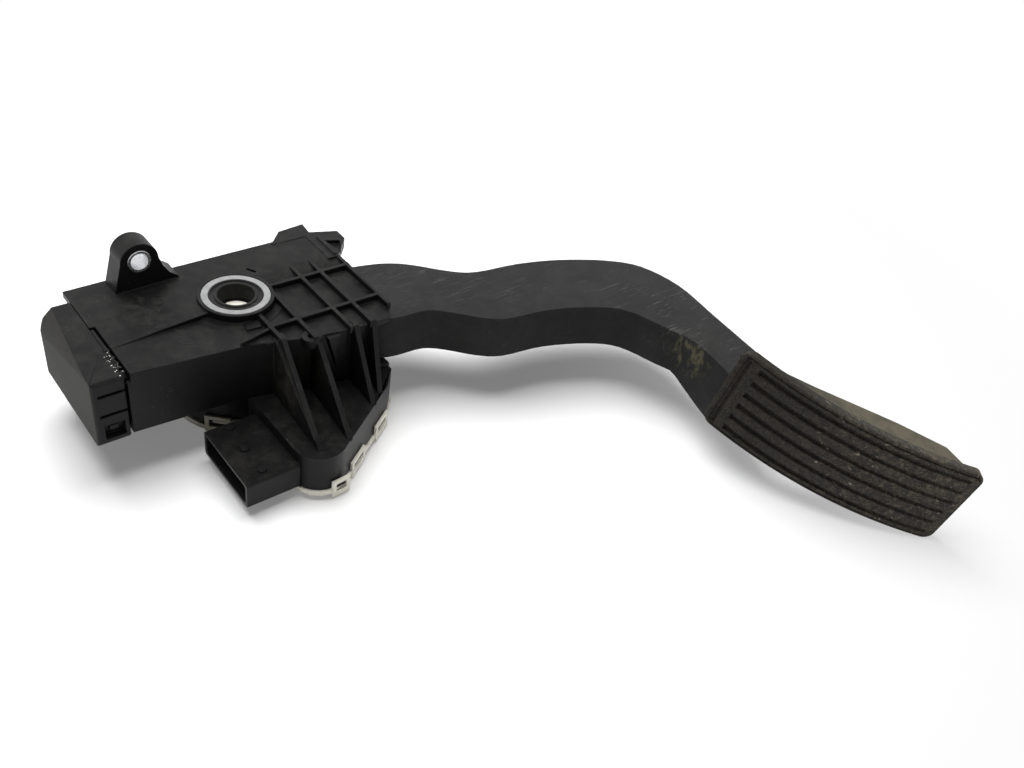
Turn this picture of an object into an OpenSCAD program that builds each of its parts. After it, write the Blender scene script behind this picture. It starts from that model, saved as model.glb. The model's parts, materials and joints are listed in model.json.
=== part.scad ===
// Accelerator pedal module: a ribbed plastic housing with a sprung arm,
// a sensor tray and connector under it, and a rubber-faced foot pad.
// Millimetres. The origin is on the pivot axis, level with the top of the
// light bearing ring. Z runs up the pivot axis, X from the housing toward
// the arm, and Y toward the mounting side.

/* [Housing] */
// Left end of the body
body_x0 = -53.4; // [-54.5:0.1:-53]
// Back face, on the mounting side
body_y1 = 29.3; // [28:0.1:31]
// Bottom of the body
body_z0 = -29.5; // [-30:0.1:-29.4]
// Wall and floor thickness
wall = 2.5; // [2:0.1:3]
// Underside of the top plate
roof_z0 = -6; // [-6.1:0.05:-5.8]
// Top of the deck and of every rib
deck_z = -1.2; // [-1.6:0.1:-0.8]
// Top of the deck at the left end
deck_left_z = -2.2; // [-3:0.1:-1.6]
// Floor of the pockets between the ribs
pocket_z = -3.7; // [-4.5:0.1:-3]
// Thickness of the ribs and fins
rib_t = 1.7; // [1.2:0.1:2.2]
// Thickness of the front fins
fin_t = 2.2; // [1.6:0.1:2.8]
// Width of the snap slot for the end cap, in the body
snap_w = 1.2; // [0.9:0.1:1.6]
// Length of the snap slot
snap_l = 31; // [28:0.5:34]

/* [Hub and bearings] */
// Radius of the open bore in the hub
bore_r = 7.2; // [7:0.1:7.4]
// Wall of the hub collar
collar_wall = 3.3; // [3.1:0.1:3.5]
// Wall of the bearing sleeve
bush_wall = 1.4; // [1.2:0.1:1.6]
// Width of the bearing ring's flange round the sleeve
bush_flange_w = 1.3; // [1:0.1:1.5]
// Thickness of the bearing ring's flange
bush_flange_t = 1.2; // [0.8:0.1:1.6]
// Width of the round boss outside the bearing ring
boss_w = 1.5; // [1.2:0.1:2]
// Width of the low step round the boss
foot_w = 3.3; // [2.6:0.1:3.8]
// Depth of the hub collar
collar_h = 7.7; // [7.5:0.1:9]
// Width of the arm's hub outside the bearing sleeve
hub_w = 1.1; // [0.8:0.1:1.3]
// Width of the thrust washer
washer_w = 1.9; // [1.2:0.1:2.2]
// Wall left between the open bore and the rotor's stem
stem_step = 0.8; // [0.5:0.1:1]

/* [Mounting ears] */
// Distance between the two fixing holes
ear_pitch = 51; // [50:0.5:51.5]
// Height of the upper fixing hole
ear_z = 10.1; // [9:0.1:12]
// Distance of the holes from the pivot, along the body
ear_x = -27.9; // [-29:0.1:-27]
// Outer radius of an ear
ear_r = 7.5; // [7:0.1:8]
// Thickness of an ear
ear_t = 10; // [8:0.5:12]
// Outer radius of the steel sleeve
sleeve_r = 4.6; // [4.3:0.1:5]
// Radius of the fixing hole
fixing_r = 3.3; // [3.1:0.1:3.6]

/* [End cap] */
// Left face of the cap
cap_x0 = -66.2; // [-67:0.1:-64.5]
// Gap between the cap and the body
cap_gap = 1; // [0.6:0.1:1.5]
// Depth of the plug inside the body
cap_plug = 4.3; // [3.5:0.1:5]

/* [Sensor tray] */
// Radius of the round part of the tray
tray_r = 27; // [26.5:0.1:27.5]
// Lower rim of the tray
tray_z0 = -46; // [-46.2:0.1:-45.6]
// Thickness of the cover's rim
cover_t = 2.3; // [1.8:0.1:2.6]
// Lowest face of the cover, on which the part lies
foot_z = -50; // [-50.4:0.1:-49.6]
// Height of a snap loop
loop_h = 8; // [7:0.1:8.6]
// Width of a loop's posts
loop_post = 1.7; // [1.4:0.1:2]
// Thickness of the circuit board
board_t = 1.6; // [1:0.1:2]

/* [Connector] */
// Mouth of the socket
plug_x0 = -29.8; // [-33:0.1:-27]
// Width of the socket
plug_w = 34.3; // [33:0.1:35]
// Height of the socket
plug_h = 11.5; // [11:0.1:12]
// Wall of the socket
plug_wall = 1.6; // [1.2:0.1:2]
// Number of contact pins
pin_n = 6; // [2:1:6]
// Side of a contact pin
pin_s = 0.8; // [0.6:0.05:1]

/* [Pedal arm] */
// Depth of the arm
arm_h = 19.9; // [19:0.1:20]
// Top of the arm
arm_z1 = -6.5; // [-6.6:0.05:-6.4]
// Web left above the channels under the arm
arm_web = 3.2; // [2.5:0.1:5]
// Skirt thickness round the channels
arm_skirt = 2.8; // [2.2:0.1:3.4]
// Pedal travel in degrees
travel = 16; // [12:0.5:16]

/* [Foot pad] */
// Length of the pad
pad_l = 106.4; // [100:0.1:107]
// Width of the pad
pad_w = 39.4; // [38.5:0.1:40]
// Rise of the pad's curved face
pad_sag = 9.6; // [7:0.1:10.5]
// Thickness of the rubber
rubber_t = 2.2; // [1.8:0.1:2.6]
// Thickness of the foot plate
plate_t = 3; // [2.6:0.1:3.4]
// Number of grooves
groove_n = 6; // [4:1:6]
// Spacing of the grooves
groove_pitch = 6.2; // [5.6:0.1:6.2]
// Width of a groove
groove_w = 1.7; // [1:0.1:2.4]
// Depth of a groove
groove_d = 1.2; // [0.8:0.1:1.4]
// Depth of the gutter across the grooves' ends
gutter_d = 0.7; // [0.4:0.1:0.9]
// Radius of the far corners
pad_corner = 4.8; // [4:0.1:6]
// Step from the raised face down to its rim
rim_drop = 0.5; // [0.3:0.1:0.8]
// Width of the rim at the arm
rim_near = 3; // [2:0.1:3.4]
// Width of the rim at the far end
rim_far = 1.2; // [1:0.1:2]
// Width of the rim along the sides
rim_side = 1; // [0.6:0.1:1.4]

/* [Return springs] */
// Outer diameter of the outer spring
spring_d1 = 18; // [16:0.5:18.5]
// Wire of the outer spring
wire_1 = 2; // [1.6:0.1:2.2]
// Outer diameter of the inner spring
spring_d2 = 11; // [10.5:0.1:11.5]
// Wire of the inner spring
wire_2 = 1.4; // [1:0.1:1.6]
// Length of the friction shoe
shoe_l = 6; // [5:0.1:7]

/* [Clearances] */
// Radial play of the hub in its bearings
run_fit = 0.05; // [0.03:0.01:0.1]
// Gap round parts that slide or swing
gap = 0.3; // [0.25:0.01:0.4]

/* [Hidden] */
$fn = 64;
black = "#1d1e20";
cream = "#e6dfc8";
steel = "#b9bcc0";

// derived sizes
journal_bore_r = bore_r + collar_wall;
bush_r = journal_bore_r + bush_wall;
bush_flange_r = bush_r + bush_flange_w;
boss_r = bush_flange_r + boss_w;
hub_r = bush_r + hub_w;
plug_r = bore_r - stem_step;
disc_r = plug_r + 9.6;
// derived levels
floor_z = body_z0 + wall;
tray_top = body_z0 - wall;
cover_z = tray_z0 - cover_t;
arm_z0 = arm_z1 - arm_h;
journal_r = journal_bore_r - run_fit;
bush_bore_r = bush_r + run_fit;
disc_z1 = tray_top - 2;
disc_t = 3;
magnet_t = 1.2;
board_z1 = -41.7;
board_z0 = board_z1 - board_t;
plug_z0 = -46;
plug_y = -47.35;
ear_y0 = 22;
cap_x1 = body_x0 - cap_gap;
snap_y0 = -24;
snap_y1 = snap_y0 + snap_l;
seam = 0.15;
seat_x = body_x0 + cap_plug;
spring_y = 14;
spring_z = -16.5;
nose = [-11, 15];
nose_r = 3;
shoe_x1 = nose.x - nose_r - gap;
shoe_x0 = shoe_x1 - shoe_l;

// plan outlines, anticlockwise
plate_pts = [[body_x0, -24], [-12, -26.5], [0, -29], [14, -33.5], [28, -35.5], [42, -36.5],
    [47.5, -36.5], [51, -31.5], [51.8, -24], [51.8, 8], [49, body_y1], [cap_x1 + seam, body_y1],
    [cap_x1 + seam, snap_y1], [body_x0, snap_y1]];
wall_pts = [[body_x0, -24], [-12, -26.5], [0, -29], [14, -33.5], [28, -35.5], [42, -36.5],
    [49, -37], [49, body_y1], [body_x0, body_y1]];
room_pts = [[-70, -21.5], [-12, -24], [0, -26.5], [14, -31], [28, -33], [42, -34], [42, -40],
    [62, -40], [62, body_y1 - wall], [-70, body_y1 - wall]];
tray_pts = concat([[-8.6, -10]], arc([2.2, -60.2], 10.8, 180, 303.9, 8),
    [[42, -46.5], [49.5, -38], [49.5, -8], [20, 18]]);
arm_front = [[6, -13], [20, -22.5], [40, -30.8], [52, -35], [66, -36.5], [74.5, -42.5],
    [83, -51], [93, -57], [113, -60.5], [133, -68.6], [144, -77.7], [150, -94], [154, -108],
    [150.8, -130.5]];
arm_back = [[174, -124], [177.4, -98], [180.4, -74], [175.5, -54], [163, -42], [143, -31.7],
    [123, -25.6], [103, -22.6], [92.5, -17], [76, -2], [59, 4.2], [30, 8.4], [0, 13]];
arm_end = [[154.5, -140], [158, -150], [168, -150], [172, -138]];
// underside of the neck, along y
neck_pts = [[-101, arm_z0], [-105, -28.4], [-108, -30.1], [-114, -32], [-120, -33.3],
    [-126, -34.1], [-160, -34.6]];
// centre and slant of each rib under the arm
arm_ribs = [[66, -16, -40], [78, -26, 45], [92, -36, -50], [108, -42, 40], [126, -47, -55],
    [143, -55, 35], [158, -64, -60], [166, -80, 15], [165, -97, -20]];
// upper and lower end of each front fin
fins = [[[2.8, -32.2], [-0.6, -66.4]], [[14.9, -36.5], [12, -66.4]],
    [[31.4, -37.4], [30.7, -53.4]], [[39.3, -37.8], [36.7, -49]]];
// place, outward direction, width and height above the foot of each snap loop
loops = [[[-18.8, -19.4], 226, 10.5, 2], [[5.2, -70.9], 274, 8, 0], [[17.4, -63], 303.9, 12, 0],
    [[36.6, -50.1], 303.9, 12, 0], [[49.5, -30], 0, 8, 0], [[49.5, -14], 0, 8, 0],
    [[35, 5], 49, 8, 0], [[0, 27], 90, 8, 0]];

// pad frame: x into the pad, y back toward the arm, z across
pad_at = [151.1, -132.6, 7.4];
pad_yaw = 29.2;
pad_drop = 10.8;
pad_twist = 1.7;
pad_r = (pad_l * pad_l / 4 + pad_sag * pad_sag) / (2 * pad_sag);
pad_half = asin(pad_l / 2 / pad_r);
pad_arc = pad_half * pad_r * PI / 90;
groove_z = -rim_side - 3.2;
lip = 1.5;
// back of the support: depth, and share of the pad's length
back_pts = [[4.5, 0.03], [4.6, 0.065], [3.1, 0.13], [2.4, 0.19], [3.4, 0.3], [5.2, 0.42],
    [8.4, 0.64], [9.4, 0.84], [2.5, 0.93]];
bays = [0.37, 0.52, 0.67, 0.82];

function unit(v) = v / norm(v);
function arc(c, r, a, b, n) = [for (k = [0 : n]) let (t = a + (b - a) * k / n)
    c + r * [cos(t), sin(t)]];
// corner of a polygon, rounded with n + 1 points
function corner(a, b, c, r, n) = let (u = unit(a - b), v = unit(c - b), h = acos(u * v) / 2,
    m = b + unit(u + v) * r / sin(h), s = b + u * r / tan(h) - m, e = b + v * r / tan(h) - m,
    w = (cross(s, e) > 0 ? 1 : -1) * (180 - 2 * h))
    [for (k = [0 : n]) let (t = w * k / n)
        m + [s.x * cos(t) - s.y * sin(t), s.x * sin(t) + s.y * cos(t)]];
function rounded(p, r, n = 5) = [for (i = [0 : len(p) - 1])
    each corner(p[(i + len(p) - 1) % len(p)], p[i], p[(i + 1) % len(p)],
        is_list(r) ? r[i] : r, n)];
function box_pts(a, b) = [a, [b.x, a.y], b, [a.x, b.y]];
// every edge of an anticlockwise outline moved inward by d
function inset(p, d) = [for (i = [0 : len(p) - 1])
    let (u = unit(p[i] - p[(i + len(p) - 1) % len(p)]), v = unit(p[(i + 1) % len(p)] - p[i]),
        m = [-u.y, u.x], n = [-v.y, v.x])
    p[i] + (m + n) * d / (1 + m * n)];
// smooth curve through all the points
function blend(a, b, c, d, t) = 0.5 * (2 * b + (c - a) * t + (2 * a - 5 * b + 4 * c - d) * t * t
    + (3 * b - a - 3 * c + d) * t * t * t);
function curve(p, n) = concat([for (i = [0 : len(p) - 2], k = [0 : n - 1])
    blend(p[max(i - 1, 0)], p[i], p[i + 1], p[min(i + 2, len(p) - 1)], k / n)],
    [p[len(p) - 1]]);
arm_pts = concat(curve(arm_front, 4), arm_end, curve(arm_back, 4));
// coil along x with closed ends
function coil_x(t, turns, len, wire) = let (e = 1, m = turns - 2 * e, p = (len - wire * 3) / m)
    wire / 2 + (t < e ? t * wire : t < turns - e ? e * wire + (t - e) * p
        : e * wire + m * p + (t - turns + e) * wire);

module tube(r1, r2, z0, z1) {
    translate([0, 0, z0]) difference() {
        cylinder(r = r1, h = z1 - z0, $fn = 96);
        translate([0, 0, -1]) cylinder(r = r2, h = z1 - z0 + 2, $fn = 96);
    }
}
module disc(r, z0, z1) translate([0, 0, z0]) cylinder(r = r, h = z1 - z0, $fn = 96);
module slab(z0, z1) translate([0, 0, z0]) linear_extrude(z1 - z0) children();
module block(a, b) translate(a) cube(b - a);
// outline drawn in x and z, pulled from y0 to y1
module side(y0, y1) translate([0, y1, 0]) rotate([90, 0, 0]) linear_extrude(y1 - y0) children();
// outline drawn in y and z, pulled from x0 to x1
module front(x0, x1) translate([x0, 0, 0]) rotate([90, 0, 90]) linear_extrude(x1 - x0)
    children();
module in_pad() translate(pad_at) rotate([0, 0, pad_yaw]) rotate([pad_drop, 0, 0])
    rotate([0, pad_twist, 0]) children();
module tray_shape(d) {
    circle(r = tray_r - d, $fn = 96);
    polygon(inset(tray_pts, d));
}
module coil(d, wire, x0, x1, turns) {
    n = 20 * turns; s = 8; r = (d - wire) / 2;
    pts = [for (i = [0 : n], j = [0 : s - 1])
        let (t = i / 20, a = 360 * t, b = 360 * j / s, q = r + wire / 2 * cos(b))
        [x0 + coil_x(t, turns, x1 - x0, wire) + wire / 2 * sin(b), spring_y + q * cos(a),
            spring_z + q * sin(a)]];
    polyhedron(pts, concat([[for (j = [0 : s - 1]) j]],
        [for (i = [0 : n - 1], j = [0 : s - 1])
            [i * s + j, (i + 1) * s + j, (i + 1) * s + (j + 1) % s, i * s + (j + 1) % s]],
        [[for (j = [s - 1 : -1 : 0]) n * s + j]]));
}

module top_plate() {
    difference() {
        intersection() {
            slab(roof_z0, 2) polygon(plate_pts);
            side(-60, 60) polygon([[-80, roof_z0], [80, roof_z0], [80, deck_z], [-15, deck_z],
                [-51, deck_left_z], [-80, deck_left_z]]);
        }
        // lower front half of the deck
        intersection() {
            slab(-5, 2) polygon([[-80, -10], [-48, -7.6], [-33, -6.2], [-15, -5], [0, -4], [0, -60],
                [-80, -60]]);
            side(-60, 60) polygon([[-80, deck_left_z], [body_x0, deck_left_z], [-12, pocket_z],
                [20, pocket_z], [20, 2], [-80, 2]]);
        }
        // sunken floor of the rib grid, with a ramp at the back
        intersection() {
            slab(-5, 2) polygon([[-0.01, -60], [80, -60], [80, 12], [15, 12], [15, 0], [-0.01, 0]]);
            front(-1, 80) polygon([[-60, pocket_z], [2, pocket_z], [10.5, deck_z], [10.5, 2],
                [-60, 2]]);
        }
        // short slit beside the boss
        slab(-3, 2) polygon([[12.2, 15.3], [13.1, 15.8], [15.2, 12.2], [14.3, 11.7]]);
        // slot for the end cap's latch
        block([body_x0 - 3, snap_y0 - 1, roof_z0 - 1], [body_x0 + snap_w, snap_y1, 2]);
    }
    disc(boss_r, roof_z0, 0);
    disc(boss_r + foot_w, roof_z0, pocket_z + 0.5);
    // ribs along the body
    block([14, 1.2 - rib_t / 2, pocket_z - 1], [51.8, 1.2 + rib_t / 2, deck_z]);
    block([1.5, -23 - rib_t / 2, pocket_z - 1], [51.4, -23 + rib_t / 2, deck_z]);
    // ribs across the body
    for (r = [[2.5, -12, -32.2], [14, -4, -37], [29.4, 12, -37.6], [38.3, 12, -38], [50.8, 10, -31]])
        block([r.x - rib_t / 2, r.z, pocket_z - 1], [r.x + rib_t / 2, r.y, deck_z]);
    // low pad at the foot of the boss
    slab(pocket_z - 1, pocket_z + 0.9) polygon([[-5.4, -19.2], [0.6, -19.6], [1.8, -15.4],
        [-4, -14]]);
    // ridge from the grid down to the front edge
    slab(pocket_z - 1, deck_z - 0.6) polygon([[-12, -26.5], [-10.5, -26.7], [2, -24], [2, -22.4]]);
    // edge flange beside the ear
    slab(-5, deck_left_z) polygon([[cap_x1 + seam, 28], [-36, 28], [-36, 33.4],
        [cap_x1 + seam, 33.1]]);
    // tabs at the back corner, with a recess behind the ridge
    difference() {
        slab(roof_z0, deck_z + 0.2) {
            polygon([[30.4, 27], [30.4, 27.9], [37.6, 35.2], [50, 36.4], [48.9, 27]]);
            polygon([[46, 29.4], [48.9, 29.4], [60.7, 25.1], [60.6, 18.6], [50.6, 7.7], [46, 7.7]]);
        }
        slab(deck_z - 1.6, 2) polygon([[51.8, 20.6], [57.6, 18], [53.4, 9.4], [52.6, 14.6]]);
    }
    block([49.4, 9, deck_z], [51, 24, deck_z + 0.9]);
    // small round boss with a hole
    difference() {
        translate([13.7, -34.2, roof_z0]) cylinder(r = 4, h = deck_z - 1 - roof_z0);
        translate([13.7, -34.2, roof_z0 - 1]) cylinder(r = 1.5, h = 9);
    }
}
module fin(top, foot) {
    run = foot - top; s = norm(run);
    translate([top.x, top.y, 0]) rotate([0, 0, atan2(run.y, run.x)])
        side(-fin_t / 2, fin_t / 2)
            polygon([[-4, deck_z], [0, deck_z], [s, body_z0], [s, body_z0 - 0.5], [-4, body_z0 - 0.5]]);
}
module ear(z, base) {
    difference() {
        side(ear_y0, ear_y0 + ear_t) {
            translate([ear_x, z]) circle(r = ear_r);
            polygon(base);
        }
        translate([ear_x, ear_y0 - 1, z]) rotate([-90, 0, 0]) cylinder(r = sleeve_r, h = ear_t + 2);
    }
}
module at_loop(l) translate([l[0].x, l[0].y, foot_z + l[3]]) rotate([0, 0, l[1]]) children();
module plug_shape(d) polygon(rounded(box_pts([plug_y - plug_w / 2 + d, plug_z0 + d],
    [plug_y + plug_w / 2 - d, plug_z0 + plug_h - d]), 1.2));
module at_pins() for (i = [0 : pin_n - 1]) translate([0, plug_y + (i - (pin_n - 1) / 2) * 4.6,
    board_z1]) children();
module housing() color(black) {
    difference() {
        union() {
            difference() {
                slab(body_z0, roof_z0 + 0.01) polygon(wall_pts);
                slab(floor_z, roof_z0 + 1) polygon(room_pts);
            }
            top_plate();
            slab(tray_top, body_z0 + 0.01) tray_shape(0);
            slab(tray_z0, tray_top + 0.01) difference() {
                tray_shape(0);
                tray_shape(wall);
            }
            for (f = fins) fin(f[0], f[1]);
            // broad flank of the first fin
            intersection() {
                slab(body_z0 - 0.5, 0) polygon([[0.6, -27], [3.6, -27], [0, -66.4], [-1.7, -66.4]]);
                front(-10, 10) polygon([[-26, -3.4], [-31, -3.4], [-67.5, body_z0 - 0.5],
                    [-26, body_z0 - 0.5]]);
            }
            // small gusset under the front edge
            side(-36.6, -29) polygon([[19.6, -4.5], [25.4, -4.5], [23.8, -19.5]]);
            front(plug_x0, -8) plug_shape(0);
            for (p = [[-20.9, -33.8], [-21.4, -46.8], [-21.3, -59.7]])
                translate([p.x, p.y, plug_z0 + plug_h - 0.5]) cylinder(r = 1.7, h = 1.5);
            // guide wall of the friction shoe
            block([body_x0 + 8, -1.5, floor_z - 0.5], [-15, 1.2, roof_z0 + 0.5]);
            ear(ear_z, [[-38.5, -6], [-38.5, -2], [ear_x - ear_r, ear_z], [ear_x + ear_r, ear_z],
                [-19, 6], [-16.5, 2], [-13, -0.6], [-13, -6]]);
            ear(ear_z - ear_pitch, [[-38.5, body_z0 + 1], [ear_x - ear_r, ear_z - ear_pitch],
                [ear_x + ear_r, ear_z - ear_pitch], [-17, body_z0 + 1]]);
            // catches behind the snap loops
            for (l = loops) at_loop(l) front(-1, 1.1) polygon(box_pts(
                [loop_post + 0.2 - l[2] / 2, 4.2], [l[2] / 2 - loop_post - 0.2, loop_h - 2]));
        }
        // bearings
        disc(bush_bore_r, tray_top - 1, 1);
        disc(bush_flange_r + run_fit, -bush_flange_t, 1);
        // socket of the connector and the slots for its pins
        front(plug_x0 - 1, -10) plug_shape(plug_wall);
        at_pins() block([-12, -pin_s / 2, 0], [2, pin_s / 2, pin_s]);
        for (e = [ear_z, ear_z - ear_pitch]) translate([ear_x, ear_y0 - 1, e]) rotate([-90, 0, 0])
            cylinder(r = sleeve_r, h = ear_t + 2);
    }
}
module end_cap() color(black) {
    difference() {
        intersection() {
            front(cap_x0, cap_x1) polygon(concat(corner([-24.4, 0], [-24.4, -31.4],
                [20, -31.4], 3, 4), [[body_y1, -31.4], [body_y1, -9], [25.3, deck_left_z],
                [-23.4, deck_left_z], [-24.4, deck_left_z - 1]]));
            slab(-40, 0) polygon(rounded(box_pts([cap_x0, -24.4], [cap_x1, body_y1]),
                [1.5, 0.4, 0.4, 4]));
        }
        // sloping face on the left
        translate([cap_x0 - 1, -24, -3.6]) rotate([0, 63.4, 173.8]) translate([-60, -60, 0])
            cube([120, 120, 40]);
        // slits and latch window on the front face
        for (z = [-8.8, -17.8]) block([cap_x0 + 2, -25, z], [cap_x1 + 1, -23.2, z + 1.2]);
        block([cap_x0 + 3, -25, -28], [cap_x1 - 1.6, -21.5, -21.8]);
    }
    block([cap_x0 + 5, -23, -25.6], [cap_x1 - 3.6, -21, -23.4]);
    // latch tongue with its teeth, in the slot of the deck
    block([cap_x1 - 1.5, -19, roof_z0 + 0.2], [body_x0 + snap_w - 0.8, snap_y1 - 0.9,
        deck_left_z - 0.3]);
    for (y = [-22.4, -19.6, -16.4, -13, -8.4])
        block([cap_x1 - 0.9, y, roof_z0 + 0.2], [body_x0 + snap_w - 0.9, y + 1.3, deck_left_z + 0.1]);
    difference() {
        block([cap_x1 - 0.5, -20.8, floor_z], [seat_x, body_y1 - wall - gap, roof_z0]);
        translate([seat_x - 1, spring_y, spring_z]) rotate([0, 90, 0])
            cylinder(r = spring_d1 / 2 + gap, h = 2);
    }
    translate([seat_x - 1.5, spring_y, spring_z]) rotate([0, 90, 0]) cylinder(r = 3.6, h = 5);
}
module mount_sleeves() color(steel) for (z = [ear_z, ear_z - ear_pitch])
    translate([ear_x, ear_y0 + ear_t, z]) rotate([90, 0, 0]) tube(sleeve_r, fixing_r, 0, ear_t);
module upper_bush() color("#c9cbcc") {
    tube(bush_flange_r, journal_bore_r, -bush_flange_t, 0);
    tube(bush_r, journal_bore_r, roof_z0, -bush_flange_t + 0.01);
}
module lower_bush() color("#c9cbcc") {
    tube(bush_r, journal_bore_r, tray_top - 0.01, floor_z);
    tube(bush_flange_r, journal_bore_r, tray_top - 0.7, tray_top);
}
module hub_collar() color(black) difference() {
    tube(journal_r, bore_r, -collar_h, 0);
    tube(journal_r - 0.75, bore_r + 1.1, -0.6, 1);
}
module thrust_washer() color("#8d9092") tube(bush_r + 0.2 + washer_w,
    bush_r + 0.2, floor_z, floor_z + 0.35);

module arm_body() {
    slab(arm_z0, arm_z1) polygon(arm_pts);
    disc(hub_r, arm_z0, arm_z1);
    disc(journal_r, disc_z1, arm_z0 + 1);
    // lever nose that works the friction shoe
    slab(spring_z - 5.5, spring_z + 5.5) {
        polygon([[6.4, 4.7], [-8.6, 16.8], [-13.4, 13.2], [-6.4, -4.7]]);
        translate(nose) circle(r = nose_r);
    }
}
module neck() intersection() {
    slab(-60, arm_z0 + 0.01) polygon(arm_pts);
    front(100, 200) polygon(concat([[-101, arm_z0 + 1]], neck_pts, [[-160, arm_z0 + 1]]));
}
// band of the pad's arc; near and far are lengths left off at its ends
module pad_ring(r0, r1, z0, z1, near, far) {
    a = 180 / PI / pad_r;
    translate([pad_r - pad_sag, -pad_l / 2, z0]) rotate([0, 0, 180 - pad_half + near * a])
        rotate_extrude(angle = 2 * pad_half - (near + far) * a, $fn = 360)
            translate([r0, 0]) square([r1 - r0, z1 - z0]);
}
module pad_outline(near, far, sides) front(-30, 60) polygon(rounded(
    box_pts([far - pad_l, sides - pad_w], [-near, -sides]),
    [pad_corner - far, 3.4 - sides, 3.4 - sides, pad_corner - far]));
module foot_plate() in_pad() {
    intersection() {
        pad_ring(pad_r - rubber_t - plate_t, pad_r - rubber_t, lip - pad_w, -lip, 0.5, 0.5);
        pad_outline(lip, lip, lip);
    }
    difference() {
        translate([0, 0, lip + 0.1 - pad_w]) linear_extrude(pad_w - 2 * lip - 0.2)
            polygon(concat([for (p = back_pts) [p.x, -p.y * pad_l]], [for (k = [0 : 8])
                let (y = (0.9 * k / 8 - 0.93) * pad_l) [pad_r - pad_sag
                    - sqrt(pow(pad_r - rubber_t - 1, 2) - pow(y + pad_l / 2, 2)), y]]));
        // bays between the cross ribs
        intersection() {
            translate([pad_r - pad_sag, -pad_l / 2, 0])
                disc(pad_r - rubber_t - plate_t, 4.2 - pad_w, -4.2);
            for (b = bays) block([-20, -b * pad_l, -pad_w], [30, (0.13 - b) * pad_l, 0]);
        }
    }
}
module pedal_arm() color("#26272a") difference() {
    union() {
        arm_body();
        neck();
        foot_plate();
    }
    disc(plug_r, disc_z1 - 1, 1);
    disc(journal_bore_r, -collar_h, 1);
    // channels under the arm
    difference() {
        intersection() {
            slab(arm_z0 - 1, arm_z1 - arm_web) polygon(inset(arm_pts, arm_skirt));
            slab(-60, 0) polygon([[58, 10], [58, -60], [100, -80], [140, -102], [200, -102],
                [200, 10]]);
        }
        for (r = arm_ribs) translate([r.x, r.y, 0]) rotate([0, 0, r.z])
            translate([-30, -1, -60]) cube([60, 2, 60]);
    }
}
module pad_cover() color("#35322f") in_pad() difference() {
    union() {
        intersection() {
            pad_ring(pad_r - rubber_t - plate_t, pad_r - rim_drop, -pad_w, 0, 0, 0);
            pad_outline(0, 0, 0);
        }
        intersection() {
            pad_ring(pad_r - rubber_t + 0.2, pad_r, -pad_w, 0, rim_near, rim_far);
            pad_outline(rim_near, rim_far, rim_side);
        }
    }
    intersection() {
        pad_ring(pad_r - 9, pad_r - rubber_t, lip - pad_w, -lip, 0.5, 0.5);
        pad_outline(lip, lip, lip);
    }
    // grooves along the face, joined at their ends by a shallow gutter
    for (i = [0 : groove_n - 1]) pad_ring(pad_r - groove_d, pad_r + 1,
        groove_z - i * groove_pitch - groove_w / 2, groove_z - i * groove_pitch + groove_w / 2,
        rim_near + 6.4, rim_far + 3);
    for (e = [[rim_near + 5.6, pad_arc - rim_near - 7.4], [pad_arc - rim_far - 4, rim_far + 2]])
        pad_ring(pad_r - gutter_d, pad_r + 1,
            groove_z - (groove_n - 1) * groove_pitch - groove_w / 2, groove_z + groove_w / 2,
            e.x, e.y);
}
module sensor_rotor() color(cream) {
    disc(plug_r - run_fit, disc_z1 - disc_t, -collar_h);
    disc(disc_r, disc_z1 - disc_t, disc_z1);
}
module sensor_magnet() color("#3b3d40") tube(disc_r - 2, disc_r - 6,
    disc_z1 - disc_t - magnet_t, disc_z1 - disc_t);
module circuit_board() color("#2f6b3c") slab(board_z0, board_z1) difference() {
    tray_shape(4.5);
    for (p = [[-13, 14], [30, -22], [-2, -58]]) translate(p) circle(r = 1.2, $fn = 24);
}
module board_parts() color("#202224") {
    for (x = [-5, 5]) block([x - 2, -2.5, board_z1], [x + 2, 2.5, board_z1 + 1]);
    block([16, -38, board_z1], [23, -31, board_z1 + 1.4]);
    block([29, -34, board_z1], [33, -30, board_z1 + 1]);
    for (i = [0 : 4]) block([14 + 3 * i, -48, board_z1], [15.6 + 3 * i, -47.1, board_z1 + 0.8]);
    for (i = [0 : 2]) block([8, -54 + 4 * i, board_z1], [10, -52.8 + 4 * i, board_z1 + 0.9]);
}
module contact_pins() color("#c8b273") at_pins() block([-25, -pin_s / 2, 0], [2, pin_s / 2, pin_s]);
module sensor_cover() color(cream) {
    slab(cover_z, tray_z0) tray_shape(-0.8);
    slab(foot_z, cover_z + 0.01) tray_shape(6);
    // raised rim beside the first loop
    translate([0, 0, tray_z0 + 3]) rotate([0, 0, 222]) rotate_extrude(angle = 22, $fn = 96)
        translate([tray_r + 0.15, 0]) square([1.2, 2]);
    for (p = [[-15, -4], [15, 3], [38, -30], [4, -62]]) translate([p.x, p.y, tray_z0 - 0.5])
        cylinder(r = 2, h = board_z0 - tray_z0 + 0.5);
    for (l = loops) at_loop(l) difference() {
        block([0.15, -l[2] / 2, 0], [1.35, l[2] / 2, loop_h]);
        block([-1, loop_post - l[2] / 2, 2.8], [3, l[2] / 2 - loop_post, loop_h - 1.8]);
    }
}
module cover_seal() color("#2b2b2b") slab(tray_z0, tray_z0 + 1.5) difference() {
    tray_shape(wall + 0.05);
    tray_shape(wall + 1.2);
}
module rotor_seal() color("#2b2b2b") tube(journal_r + 2.35, journal_r + 0.55,
    tray_top - 1.4, tray_top - 0.7);
module friction_shoe() color("#d8d4c8") {
    block([shoe_x0, 1.2 + gap, floor_z + gap],
        [shoe_x1, body_y1 - wall - gap, roof_z0 - gap]);
    translate([shoe_x0 - 4, spring_y, spring_z]) rotate([0, 90, 0]) cylinder(r = 3.6, h = 5);
}
module outer_spring() color(steel) coil(spring_d1, wire_1, seat_x - 1, shoe_x0, 7);
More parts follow.
